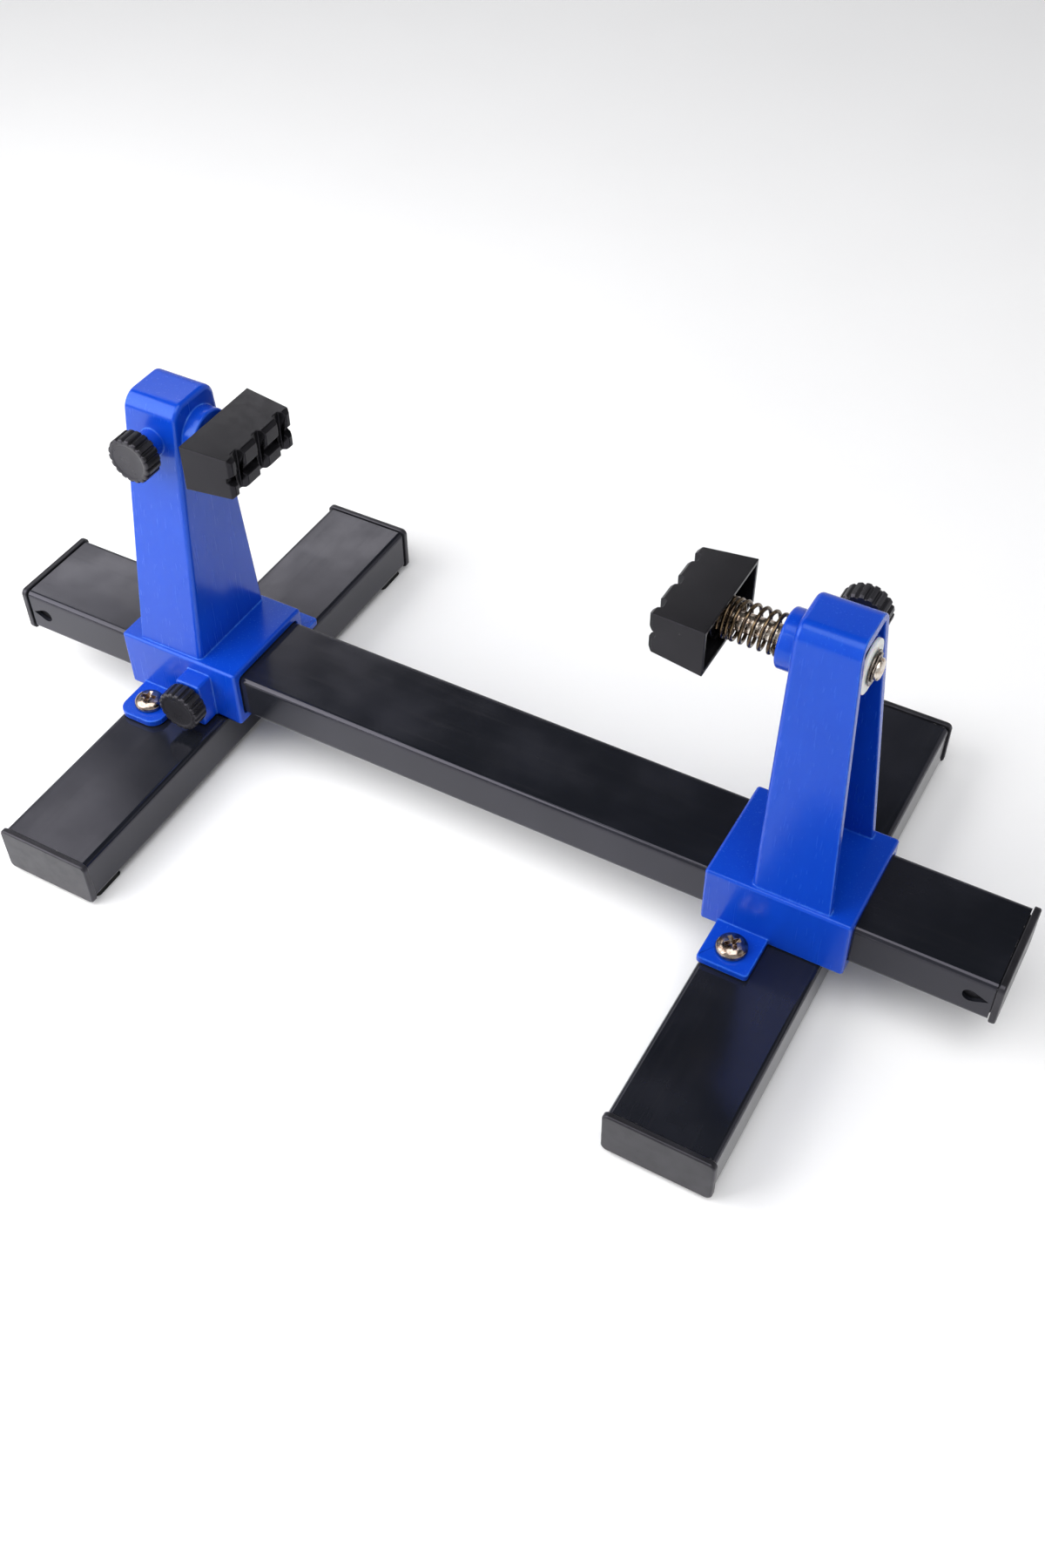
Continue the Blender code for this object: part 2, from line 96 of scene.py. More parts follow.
JAW_WALL, JAW_SEAT, JAW_POCKET, HUB_R, GROOVE_DEPTH = 1.1, 2.2, 10.2, 5.9, 1.9
NOTCH_PITCH, NOTCH_MOUTH, NOTCH_FLOOR, NOTCH_DEPTH = 9.0, 4.0, 2.4, 2.0
LEFT_JAW_U, RIGHT_JAW_U, SHAFT_R, SHAFT_END_U = 14.0, 26.1, 2.5, -10.3
SPRING_R, WIRE_R, DEAD_TURNS, OPEN_TURNS, DEAD_PITCH = 4.7, 0.47, 3.0, 4.2, 1.15
KNOB_R, KNOB_T, KNOB_SOCKET_R = 6.4, 5.5, 2.2
STUD_R, STUD_IN_KNOB, THREAD_PITCH, THREAD_DEPTH = 1.9, 3.6, 0.8, 0.33
NYLON_R, NYLON_BACK, STEEL_R = 6.6, 1.3, 4.3
SCREW_HEAD_R, SCREW_HEAD_H = 4.2, 2.6

# Camera, floor and light

scene = bpy.context.scene
scene.view_settings.view_transform = "Standard"
scene.view_settings.look = "None"

camera = bpy.data.objects.new("camera", bpy.data.cameras.new("camera"))
scene.collection.objects.link(camera)
camera.location = (0.164327, -0.267352, 0.352592)
camera.rotation_euler = (0.744089, 0.008899, 0.508902)
camera.data.lens = 38.079
camera.data.clip_start = 0.01
scene.camera = camera


def lamp(name, position, aim, size, watts):
    data = bpy.data.lights.new(name, "AREA")
    data.shape = "RECTANGLE"
    data.size, data.size_y = size
    data.energy = watts
    light = bpy.data.objects.new(name, data)
    scene.collection.objects.link(light)
    light.location = position
    light.rotation_euler = (Vector(aim) - Vector(position)).to_track_quat("-Z", "Y").to_euler()


lamp("overhead", (0.30, -0.42, 1.5), (0, 0, 0), (1.3, 1.3), 17.5)
lamp("left", (-0.33, -0.27, 0.32), (-0.10, -0.02, 0.05), (0.5, 0.5), 3.2)
lamp("streak", (-0.696, 0.371, 0.816), (-0.09, -0.078, 0.015), (0.16, 0.12), 0.15)
lamp("band", (-1.345, 1.44, 1.52), (-0.09, 0.03, 0.02), (1.3, 0.16), 2.1)

# Materials

# Tint of the shine on every black surface
LAVENDER = (0.90, 0.86, 1.0, 1.0)


class Finish:
    """A Principled material and the nodes that drive it. Sizes are in millimetres."""

    def __init__(self, name, **constants):
        self.material = bpy.data.materials.new(name)
        self.material.use_nodes = True
        self.tree = self.material.node_tree
        self.shader = self.tree.nodes["Principled BSDF"]
        for socket, value in constants.items():
            self.shader.inputs[socket.replace("_", " ")].default_value = value
        self.place = self.node("ShaderNodeTexCoord").outputs["Object"]

    def node(self, kind, **settings):
        made = self.tree.nodes.new(kind)
        for key, value in settings.items():
            setattr(made, key, value)
        return made

    def give(self, socket, value):
        if isinstance(value, bpy.types.NodeSocket):
            self.tree.links.new(value, socket)
        else:
            socket.default_value = value

    def scaled(self, size, stretch):
        mapping = self.node("ShaderNodeMapping")
        self.give(mapping.inputs["Vector"], self.place)
        self.give(mapping.inputs["Scale"], tuple(1000 / size / s for s in stretch))
        return mapping.outputs[0]

    def noise(self, size, detail=3.0, stretch=(1, 1, 1), rough=0.5):
        texture = self.node("ShaderNodeTexNoise")
        self.give(texture.inputs["Vector"], self.scaled(size, stretch))
        self.give(texture.inputs["Scale"], 1.0)
        self.give(texture.inputs["Detail"], detail)
        self.give(texture.inputs["Roughness"], rough)
        return texture.outputs["Fac"]

    def spots(self, spacing, radius, share, stretch=(1, 1, 1)):
        """1 inside small spots, which fill that share of the cells."""
        cells = self.node("ShaderNodeTexVoronoi")
        self.give(cells.inputs["Vector"], self.scaled(spacing, stretch))
        self.give(cells.inputs["Scale"], 1.0)
        near = self.ramp(cells.outputs["Distance"], radius / spacing, 0.4 * radius / spacing)
        parts = self.node("ShaderNodeSeparateColor")
        self.give(parts.inputs[0], cells.outputs["Color"])
        chosen = self.ramp(parts.outputs[0], share + 0.01, share)
        return self.maths("MULTIPLY", near, chosen)

    def ramp(self, value, start, end, low=0.0, high=1.0):
        stretch = self.node("ShaderNodeMapRange", interpolation_type="SMOOTHSTEP")
        for socket, given in zip(stretch.inputs, (value, start, end, low, high)):
            self.give(socket, given)
        return stretch.outputs[0]

    def maths(self, operation, a, b):
        sum_node = self.node("ShaderNodeMath", operation=operation)
        self.give(sum_node.inputs[0], a)
        self.give(sum_node.inputs[1], b)
        return sum_node.outputs[0]

    def mix(self, share, a, b):
        blend = self.node("ShaderNodeMix", data_type="RGBA")
        self.give(blend.inputs["Factor"], share)
        for socket, given in ((blend.inputs[6], a), (blend.inputs[7], b)):
            self.give(socket, given if isinstance(given, bpy.types.NodeSocket) else (*given, 1.0))
        return blend.outputs[2]

    def edges(self, radius):
        """1 at a crease or corner, falling to 0 a radius away."""
        round_off = self.node("ShaderNodeBevel", samples=4)
        self.give(round_off.inputs["Radius"], radius * MM)
        dot = self.node("ShaderNodeVectorMath", operation="DOT_PRODUCT")
        self.give(dot.inputs[0], round_off.outputs[0])
        self.give(dot.inputs[1], self.node("ShaderNodeNewGeometry").outputs["Normal"])
        return self.ramp(dot.outputs["Value"], 0.99, 0.8)

    def bump(self, *layers):
        """Each layer is (height, depth in mm)."""
        normal = None
        for height, depth in layers:
            bump = self.node("ShaderNodeBump")
            self.give(bump.inputs["Height"], height)
            self.give(bump.inputs["Distance"], depth * MM)
            if normal:
                self.give(bump.inputs["Normal"], normal)
            normal = bump.outputs[0]
        self.give(self.shader.inputs["Normal"], normal)

    def finish(self, colour, roughness, metallic=None):
        self.give(self.shader.inputs["Base Color"], colour)
        self.give(self.shader.inputs["Roughness"], roughness)
        if metallic is not None:
            self.give(self.shader.inputs["Metallic"], metallic)
        return self.material


def blue_plastic():
    f = Finish("blue_plastic_moulded", Subsurface_Weight=0.12, Subsurface_Scale=0.0012)
    f.shader.inputs["Subsurface Radius"].default_value = (0.15, 0.35, 1.0)
    f.shader.inputs["Specular Tint"].default_value = (0.30, 0.62, 1.0, 1.0)
    f.shader.inputs["Coat Weight"].default_value = 0.2
    f.shader.inputs["Coat Roughness"].default_value = 0.12
    cloud = f.noise(20, 2)
    flow = f.noise(1.6, 2, (1, 1, 12))
    edge = f.edges(0.7)
    colour = f.mix(f.ramp(cloud, 0.2, 0.8), (0.002, 0.045, 0.44), (0.003, 0.050, 0.47))
    colour = f.mix(f.ramp(flow, 0.4, 0.8, 0.0, 0.08), colour, (0.004, 0.085, 0.60))
    # Pale azure rims: partly rubbed wear, partly a painted highlight along the rounded edges.
    edge_wear_and_highlight = f.maths("MULTIPLY", edge, f.ramp(f.noise(2.2, 5), 0.42, 0.62, 0.35, 0.85))
    colour = f.mix(edge_wear_and_highlight, colour, (0.08, 0.34, 1.0))
    dust = f.maths("ADD", f.spots(3.4, 0.10, 0.35), f.spots(1.3, 0.04, 0.25))
    colour = f.mix(f.maths("MULTIPLY", dust, 0.55), colour, (0.45, 0.6, 0.95))
    scratch = f.ramp(f.noise(0.5, 2, (1, 1, 30)), 0.62, 0.72)
    roughness = f.ramp(f.noise(8, 3), 0.2, 0.8, 0.245, 0.27)
    roughness = f.maths("ADD", roughness, f.maths("MULTIPLY", scratch, 0.04))
    f.bump((f.noise(18, 0), 0.02), (f.noise(0.22, 2), 0.002), (dust, 0.008))
    return f.finish(colour, roughness)


def black_paint(name, along):
    """Glossy baked paint, with fine drawing marks along one axis."""
    f = Finish(name)
    f.shader.inputs["Specular IOR Level"].default_value = 0.5
    f.shader.inputs["Specular Tint"].default_value = LAVENDER
    drawn = tuple(40 if axis == along else 1 for axis in "XYZ")
    marks = f.noise(0.7, 3, drawn)
    edge = f.edges(0.5)
    colour = f.mix(f.ramp(f.noise(25, 4), 0.35, 0.7), (0.007, 0.008, 0.011), (0.014, 0.015, 0.020))
    colour = f.mix(f.ramp(marks, 0.5, 0.8, 0, 0.35), colour, (0.018, 0.018, 0.021))
    dust = f.maths("ADD", f.spots(5, 0.10, 0.3), f.spots(1.8, 0.045, 0.2))
    colour = f.mix(f.maths("MULTIPLY", dust, 0.5), colour, (0.20, 0.19, 0.19))
    chipped = f.maths("MULTIPLY", edge, f.ramp(f.noise(1.6, 6), 0.6, 0.68))
    colour = f.mix(f.maths("MULTIPLY", chipped, 0.5), colour, (0.23, 0.22, 0.21))
    roughness = f.ramp(f.noise(12, 5), 0.3, 0.75, 0.12, 0.18)
    roughness = f.maths("ADD", roughness, f.ramp(marks, 0.4, 0.8, 0, 0.03))
    f.bump((f.noise(1.3, 2), 0.004), (marks, 0.0006), (dust, 0.006))
    return f.finish(colour, roughness)


def black_plastic(name, roughness_low, roughness_high, grey=0.013, gloss=0.42):
    f = Finish(name)
    f.shader.inputs["Specular Tint"].default_value = LAVENDER
    f.shader.inputs["Specular IOR Level"].default_value = gloss
    grain = f.noise(0.16, 2)
    edge = f.edges(0.45)
    dark, light = (grey * 0.8, grey * 0.8, grey * 0.9), (grey * 1.5, grey * 1.5, grey * 1.7)
    colour = f.mix(f.ramp(f.noise(7, 4), 0.3, 0.7), dark, light)
    rubbed = f.maths("MULTIPLY", edge, f.ramp(f.noise(1.3, 4), 0.4, 0.65, 0.15, 0.8))
    colour = f.mix(rubbed, colour, (grey * 4.5, grey * 4.5, grey * 4.8))
    dust = f.maths("ADD", f.spots(3.0, 0.10, 0.3), f.spots(1.1, 0.04, 0.2))
    colour = f.mix(f.maths("MULTIPLY", dust, 0.6), colour, (0.30, 0.29, 0.28))
    roughness = f.ramp(f.noise(3.0, 4), 0.3, 0.7, roughness_low, roughness_high)
    roughness = f.maths("SUBTRACT", roughness, f.maths("MULTIPLY", rubbed, 0.12))
    f.bump((grain, 0.005), (f.noise(6, 1), 0.015), (dust, 0.008))
    return f.finish(colour, roughness)


def rubber():
    f = Finish("rubber_moulded")
    f.shader.inputs["Specular IOR Level"].default_value = 0.3
    colour = f.mix(f.ramp(f.noise(3, 5), 0.3, 0.7), (0.012, 0.012, 0.012), (0.03, 0.029, 0.028))
    f.bump((f.noise(0.25, 3), 0.02))
    return f.finish(colour, f.ramp(f.noise(1.5, 3), 0.3, 0.7, 0.7, 0.9))


def plated(name, bright, tarnish, low, high, turned=(1, 1, 1)):
    """Plated steel with fine machining marks and brown tarnish in patches."""
    f = Finish(name, Metallic=1.0)
    edge = f.edges(0.3)
    patches = f.ramp(f.noise(1.4, 5), 0.42, 0.68)
    colour = f.mix(patches, bright, tarnish)
    colour = f.mix(f.maths("MULTIPLY", edge, 0.5), colour, tuple(min(1, c * 1.3) for c in bright))
    marks = f.noise(0.12, 2, turned)
    roughness = f.ramp(f.noise(0.8, 4), 0.3, 0.7, low, high)
    f.bump((marks, 0.004))
    return f.finish(colour, roughness)


def nylon():
    f = Finish("white_nylon_pressed", Subsurface_Weight=0.3, Subsurface_Scale=0.0015)
    colour = f.mix(f.ramp(f.noise(2.5, 4), 0.35, 0.7), (0.84, 0.84, 0.81), (0.90, 0.90, 0.88))
    grime = f.maths("MULTIPLY", f.edges(0.4), f.ramp(f.noise(0.9, 4), 0.45, 0.7, 0, 0.35))
    colour = f.mix(grime, colour, (0.45, 0.42, 0.36))
    f.bump((f.noise(0.3, 3), 0.01))
    return f.finish(colour, f.ramp(f.noise(1.5, 3), 0.3, 0.7, 0.35, 0.5))


BLUE = blue_plastic()
PAINT_X = black_paint("black_paint_rail", "X")
PAINT_Y = black_paint("black_paint_feet", "Y")
CAP_BLACK = black_plastic("black_plastic_caps", 0.28, 0.38)
JAW_BLACK = black_plastic("black_plastic_jaws", 0.16, 0.22, 0.005, 0.22)
KNOB_BLACK = black_plastic("black_plastic_knobs", 0.26, 0.36, 0.010)
RUBBER = rubber()
NICKEL = plated("nickel_screws", (0.40, 0.33, 0.28), (0.18, 0.12, 0.09), 0.12, 0.26)
SHAFT_STEEL = plated("nickel_shafts", (0.75, 0.68, 0.60), (0.5, 0.36, 0.26), 0.16, 0.3, (1, 6, 6))
DARK_STEEL = plated("dark_washers", (0.22, 0.19, 0.17), (0.10, 0.08, 0.07), 0.22, 0.36)
BRONZE = plated("bronze_spring", (0.15, 0.105, 0.06), (0.045, 0.032, 0.024), 0.14, 0.3)
NYLON = nylon()

# Outlines, as lists of (a, b) points


def circle(radius, count, turn=0.0):
    angles = [turn + 2 * pi * i / count for i in range(count)]
    return [(radius * cos(a), radius * sin(a)) for a in angles]


def rounded(width, height, corner, steps=8):
    points = []
    for quarter, (side, up) in enumerate(((1, 1), (-1, 1), (-1, -1), (1, -1))):
        for step in range(steps + 1):
            angle = pi / 2 * (quarter + step / steps)
            a = side * (width / 2 - corner) + corner * cos(angle)
            b = up * (height / 2 - corner) + corner * sin(angle)
            points.append((a, b))
    return points


def fluted(radius, depth, flutes=18, steps=10):
    """Round with shallow grooves between flat-topped lobes."""
    points = []
    for i in range(flutes * steps):
        share = (i % steps) / steps
        dip = 0.0 if share < 0.45 else 0.5 - 0.5 * cos(2 * pi * (share - 0.45) / 0.55)
        r = radius - depth * min(1.0, 1.35 * dip)
        angle = 2 * pi * i / (flutes * steps)
        points.append((r * cos(angle), r * sin(angle)))
    return points


def teardrop(radius, tail, count=40):
    """Circle drawn out to a point along +a."""
    reach = (radius**2 / tail, radius * sqrt(1 - (radius / tail) ** 2))
    start = atan2(reach[1], reach[0])
    arc = [start + (2 * pi - 2 * start) * i / count for i in range(count + 1)]
    return [(radius * cos(a), radius * sin(a)) for a in arc] + [(tail, 0.0)]


# Meshes

ALONG = {
    "X": lambda a, b, h: (h, a, b),
    "Y": lambda a, b, h: (a, h, b),
    "Z": lambda a, b, h: (a, b, h),
}


def loft(rings, closed=False):
    bm = bmesh.new()
    rows = [[bm.verts.new(Vector(p) * MM) for p in ring] for ring in rings]
    pairs = list(zip(rows, rows[1:]))
    if closed:
        pairs.append((rows[-1], rows[0]))
    else:
        bm.faces.new(rows[0])
        bm.faces.new(rows[-1])
    for low, high in pairs:
        for i in range(len(low)):
            j = (i + 1) % len(low)
            bm.faces.new((low[i], low[j], high[j], high[i]))
    bmesh.ops.recalc_face_normals(bm, faces=bm.faces)
    if bm.calc_volume(signed=True) < 0:
        bmesh.ops.reverse_faces(bm, faces=bm.faces)
    mesh = bpy.data.meshes.new("piece")
    bm.to_mesh(mesh)
    bm.free()
    return mesh


def stack(sections, axis="Z", centre=(0.0, 0.0)):
    place = ALONG[axis]
    return loft(
        [[place(a + centre[0], b + centre[1], h) for a, b in outline] for outline, h in sections]
    )


def prism(outline, low, high, axis="Z", centre=(0.0, 0.0)):
    return stack([(outline, low), (outline, high)], axis, centre)


def turned(profile, axis="Z", centre=(0.0, 0.0), count=64):
    return stack([(circle(r, count), h) for r, h in profile], axis, centre)


def pipe(outer, inner, low, high, axis):
    place = ALONG[axis]
    corners = ((outer, low), (outer, high), (inner, high), (inner, low))
    return loft([[place(a, b, h) for a, b in outline] for outline, h in corners], closed=True)


def block(low, high):
    (x0, y0, z0), (x1, y1, z1) = low, high
    return prism([(x0, y0), (x1, y0), (x1, y1), (x0, y1)], z0, z1)


def bevelled(mesh, wanted, width, segments):
    """Rounds the edges for which wanted(middle, direction) is true, both in millimetres."""
    bm = bmesh.new()
    bm.from_mesh(mesh)
    chosen = []
    for edge in bm.edges:
        start, end = (v.co / MM for v in edge.verts)
        if wanted((start + end) / 2, (end - start).normalized()):
            chosen.append(edge)
    bmesh.ops.bevel(
        bm, geom=chosen, offset=width * MM, segments=segments, profile=0.5, affect="EDGES"
    )
    bm.to_mesh(mesh)
    bm.free()
    return mesh


def evaluated(mesh, *modifiers):
    """The mesh after modifiers, each as (kind, {setting: value}), with helper meshes removed."""
    holder = bpy.data.objects.new("base", mesh)
    scene.collection.objects.link(holder)
    helpers = []
    for kind, settings in modifiers:
        modifier = holder.modifiers.new(kind, kind)
        for key, value in settings.items():
            if isinstance(value, bpy.types.Mesh):
                value = bpy.data.objects.new("helper", value)
                scene.collection.objects.link(value)
                helpers.append(value)
            setattr(modifier, key, value)
    graph = bpy.context.evaluated_depsgraph_get()
    result = bpy.data.meshes.new_from_object(
        holder.evaluated_get(graph), preserve_all_data_layers=True, depsgraph=graph
    )
    for temporary in (holder, *helpers):
        bpy.data.objects.remove(temporary, do_unlink=True)
    result.materials.clear()
    return result


def boolean(operation):
    return lambda *meshes: [
        ("BOOLEAN", {"operation": operation, "solver": "EXACT", "object": m}) for m in meshes
    ]


cut, add = boolean("DIFFERENCE"), boolean("UNION")


def smoothed(mesh, width=0.0, segments=3):
    """Eases the edges that are still sharp, then shades flat faces flat and round ones round."""
    if width:
        easing = {
            "width": width * MM,
            "segments": segments,
            "limit_method": "ANGLE",
            "angle_limit": 0.6,
            "use_clamp_overlap": False,
            "miter_outer": "MITER_ARC",
        }
        mesh = evaluated(mesh, ("BEVEL", easing))
    mesh.polygons.foreach_set("use_smooth", [True] * len(mesh.polygons))
    mesh.set_sharp_from_angle(angle=0.7)
    return evaluated(mesh, ("WEIGHTED_NORMAL", {"weight": 50, "keep_sharp": True}))


# Stand


def upright_outline(z, inset=0.0):
    share = (z - COLLAR_TOP) / (HEAD_TOP - COLLAR_TOP)
    outer = BASE_OUTER_U + share * (TOP_OUTER_U - BASE_OUTER_U)
    inner = BASE_INNER_U + share * (TOP_INNER_U - BASE_INNER_U) - inset
    half = BASE_HALF_V + share * (TOP_HALF_V - BASE_HALF_V) - inset
    return outer, inner, half


def tapered(bottom, top, inset=0.0, open_by=0.0):
    rings = []
    for z in (bottom, top):
        outer, inner, half = upright_outline(z, inset)
        outer -= open_by
        rings.append([(outer, -half, z), (inner, -half, z), (inner, half, z), (outer, half, z)])
    return loft(rings)


def shaft_hole(radius, low, high, count=64):
    return turned([(radius, low), (radius, high)], "X", (0.0, SHAFT_Z), count)


def stand():
    upright = tapered(COLLAR_BOTTOM + 8, HEAD_TOP)
    upright = bevelled(upright, lambda m, d: m.z > HEAD_TOP - 0.1 and abs(d.x) > 0.9, HEAD_CORNER, 10)
    upright = bevelled(
        upright, lambda m, d: m.x > 7 and abs(d.x) < 0.5 and m.z > 60, UPRIGHT_EDGE, 5
    )
    pocket = tapered(COLLAR_TOP - 1, HEAD_TOP - 2.6, WALL, 12.0)
    pocket = bevelled(
        pocket, lambda m, d: m.x > 4 and m.z > 40 and abs(d.z) > 0.9, POCKET_EDGE, 4
    )
    collar = block(
        (-COLLAR_HALF_U, -COLLAR_HALF_V, COLLAR_BOTTOM), (COLLAR_HALF_U, COLLAR_HALF_V, COLLAR_TOP)
    )
    collar = bevelled(collar, lambda m, d: m.z > COLLAR_BOTTOM + 0.1, COLLAR_EDGE, 5)
    passage = prism(
        rounded(TUBE_W + 2 * GAP, TUBE_H + 2 * GAP, TUBE_CORNER), -30, 30, "X", (0.0, RAIL_MIDDLE)
    )
    arc = [
        (BOSS_R - BOSS_EASE + BOSS_EASE * cos(t), BOSS_FACE_U - BOSS_EASE + BOSS_EASE * sin(t))
        for t in (0, 0.4, 0.8, 1.2, pi / 2)
    ]
    head_boss = turned([(BOSS_R, BOSS_BACK_U), *arc], "X", (0.0, SHAFT_Z), 96)
    screw_boss = turned(
        [(SCREW_BOSS_R, GAP - HEAD_KNOB_BACK_V), (SCREW_BOSS_R, -6.0)], "Y", (HEAD_KNOB_U, SHAFT_Z), 48
    )
    screw_block = block(
        (BLOCK_U - BLOCK_HALF_U, -BLOCK_FRONT_V, COLLAR_BOTTOM + 0.2),
        (BLOCK_U + BLOCK_HALF_U, -COLLAR_HALF_V + 1.5, BLOCK_TOP),
    )
    screw_block = bevelled(screw_block, lambda m, d: m.y < -17, BLOCK_EDGE, 4)
    tabs = []
    for side in (-1, 1):
        tab = block(
            (TAB_U - TAB_W / 2, COLLAR_HALF_V - 1.5, COLLAR_BOTTOM),
            (TAB_U + TAB_W / 2, TAB_REACH_V, COLLAR_BOTTOM + TAB_T),
        )
        corner = KNOB_SIDE_TAB_CORNER if side < 0 else FAR_SIDE_TAB_CORNER
        tab = bevelled(tab, lambda m, d: m.y > 29 and abs(d.z) > 0.9, corner, 8)
        if side < 0:
            tab.transform(Matrix.Rotation(pi, 4, "Z"))
        tabs.append(tab)
    drills = [
        turned([(TAB_BORE_R, 0), (TAB_BORE_R, 30)], "Z", (side * TAB_U, side * TAB_SCREW_V), 32)
        for side in (-1, 1)
    ]
    head_drill = turned(
        [(SCREW_BORE_R, -30), (SCREW_BORE_R, 0)], "Y", (HEAD_KNOB_U, SHAFT_Z), 32
    )
    base_drill = turned(
        [(SCREW_BORE_R, -30), (SCREW_BORE_R, -10)], "Y", (BLOCK_U, RAIL_MIDDLE), 32
    )
    body = evaluated(
        upright,
        *cut(pocket),
        *add(head_boss, screw_boss, collar, screw_block, *tabs),
        *cut(passage, shaft_hole(SHAFT_BORE_R, -20, 20), head_drill, base_drill, *drills),
    )
    return smoothed(body, 0.32, 3)


# Tubes, caps and pads

TUBE_OUTLINE = rounded(TUBE_W, TUBE_H, TUBE_CORNER)
TUBE_BORE = rounded(TUBE_W - 2 * TUBE_WALL, TUBE_H - 2 * TUBE_WALL, TUBE_CORNER - TUBE_WALL)
PLUG_OUTLINE = rounded(TUBE_W - 2 * TUBE_WALL - 2 * GAP, TUBE_H - 2 * TUBE_WALL - 2 * GAP, 0.4)


def tube(length, middle_z, axis):
    half = length / 2 - CAP_FLANGE - GAP
    mesh = pipe(TUBE_OUTLINE, TUBE_BORE, -half, half, axis)
    mesh.transform(Matrix.Translation((0, 0, middle_z * MM)))
    return mesh


def rail():
    """Latch holes are drawn out towards the ends of the rail."""
    drills = []
    for end in (-1, 1):
        hole = [(end * a, b) for a, b in teardrop(2.0, 4.6)]
        centre = (end * (RAIL_LENGTH / 2 - LATCH_INSET - 1.5), RAIL_MIDDLE)
        drills.append(prism(hole, -TUBE_W, TUBE_W, "Y", centre))
    return smoothed(evaluated(tube(RAIL_LENGTH, RAIL_MIDDLE, "X"), *cut(*drills)))


def cap(length, end, middle_z, axis):
    outer = length / 2
    inner = outer - CAP_FLANGE
    width, height = TUBE_W + 2 * CAP_PROUD, TUBE_H + 2 * CAP_PROUD
    sections = []
    for step in range(6):
        angle = pi / 2 * step / 5
        ease = CAP_RIM * (1 - sin(angle))
        outline = rounded(width - 2 * ease, height - 2 * ease, TUBE_CORNER + 0.2 - ease)
        sections.append((outline, end * (outer - CAP_RIM + CAP_RIM * cos(angle))))
    flange = rounded(width, height, TUBE_CORNER + 0.2)
    slim = rounded(width - 0.4, height - 0.4, TUBE_CORNER)
    sections += [(flange, end * (inner + 0.2)), (slim, end * inner)]
    sections += [(PLUG_OUTLINE, end * inner), (PLUG_OUTLINE, end * (inner - CAP_PLUG))]
    return smoothed(stack(sections, axis, (0.0, middle_z)))


def pad():
    length = TUBE_W - 2
    sections = []
    for angle in (pi / 2, pi / 3, pi / 6, 0):
        inset = 2 * (PAD_EASE - PAD_EASE * (1 - cos(angle)))
        outline = rounded(length - inset, PAD_W - inset, PAD_CORNER)
        sections.append((outline, PAD_EASE * (1 - sin(angle))))
    sections.append((rounded(length, PAD_W, PAD_CORNER), PAD_H - GAP))
    return smoothed(stack(sections))


# Jaw, shaft, washers and spring


def jaw_section(back_u, depth, inset=0.0):
    share = depth / JAW_DEPTH
    half_v, half_z = (
        (back + share * (front - back)) / 2 - inset for back, front in zip(JAW_BACK, JAW_FRONT)
    )
    corners = ((-half_v, -half_z), (half_v, -half_z), (half_v, half_z), (-half_v, half_z))
    return [(back_u + depth, v, SHAFT_Z + z) for v, z in corners]


def jaw(back_u):
    front = back_u + JAW_DEPTH
    body = loft(
        [
            jaw_section(back_u, 0.0),
            jaw_section(back_u, JAW_DEPTH - 1.0),
            jaw_section(back_u, JAW_DEPTH, 0.8),
        ]
    )
    pocket = loft(
        [jaw_section(back_u, -1.0, JAW_WALL), jaw_section(back_u, JAW_POCKET, JAW_WALL)]
    )
    hub = turned(
        [(HUB_R, back_u + JAW_SEAT), (HUB_R, back_u + JAW_POCKET + 0.5)], "X", (0.0, SHAFT_Z)
    )
    groove = prism(
        [
            (front - GROOVE_DEPTH, SHAFT_Z - 0.9),
            (front + 1.0, SHAFT_Z - 2.5),
            (front + 1.0, SHAFT_Z + 1.7),
            (front - GROOVE_DEPTH, SHAFT_Z + 0.1),
        ],
        -20,
        20,
        "Y",
    )
    floor = NOTCH_FLOOR / 2
    mouth = floor + (NOTCH_MOUTH / 2 - floor) * (1 + 1 / NOTCH_DEPTH)
    outline = [
        (front - NOTCH_DEPTH, -floor),
        (front + 1, -mouth),
        (front + 1, mouth),
        (front - NOTCH_DEPTH, floor),
    ]
    notches = [
        prism(outline, SHAFT_Z - 10, SHAFT_Z + 10, centre=(0.0, i * NOTCH_PITCH))
        for i in (-1, 0, 1)
    ]
    bore = shaft_hole(SHAFT_R + GAP, back_u - 1, front - 4.0)
    body = evaluated(body, *cut(pocket), *add(hub), *cut(groove, *notches, bore))
    return smoothed(body, 0.22, 3)


def shaft(back_u):
    """Runs from inside the jaw, through the head, to its riveted end."""
    tip = back_u + JAW_DEPTH - 4.3
    end = SHAFT_END_U
    profile = [
        (0.9, end),
        (1.7, end + 0.08),
        (2.25, end + 0.22),
        (2.6, end + 0.5),
        (2.7, end + 0.8),
        (2.7, end + 1.1),
        (1.8, end + 1.1),
        (1.8, -8.1),
        (SHAFT_R - 0.15, -8.1),
        (SHAFT_R, -7.95),
        (SHAFT_R, tip - 0.4),
        (SHAFT_R - 0.4, tip),
    ]
    return smoothed(turned(profile, "X", (0.0, SHAFT_Z)))


def washer(outer_r, inner_r, low, high, ease):
    mesh = pipe(circle(outer_r, 72), circle(inner_r, 72), low, high, "X")
    mesh.transform(Matrix.Translation((0, 0, SHAFT_Z * MM)))
    return smoothed(mesh, ease, 2)


def clip(low, high):
    """Retaining ring with three lobes, behind the washer."""
    outline = []
    for i in range(96):
        angle = 2 * pi * i / 96
        r = 3.35 + 0.35 * max(-0.6, min(0.6, cos(3 * angle))) / 0.6
        outline.append((r * cos(angle), r * sin(angle)))
    mesh = pipe(outline, circle(2.05, 96), low, high, "X")
    mesh.transform(Matrix.Translation((0, 0, SHAFT_Z * MM)))
    return smoothed(mesh, 0.06, 2)


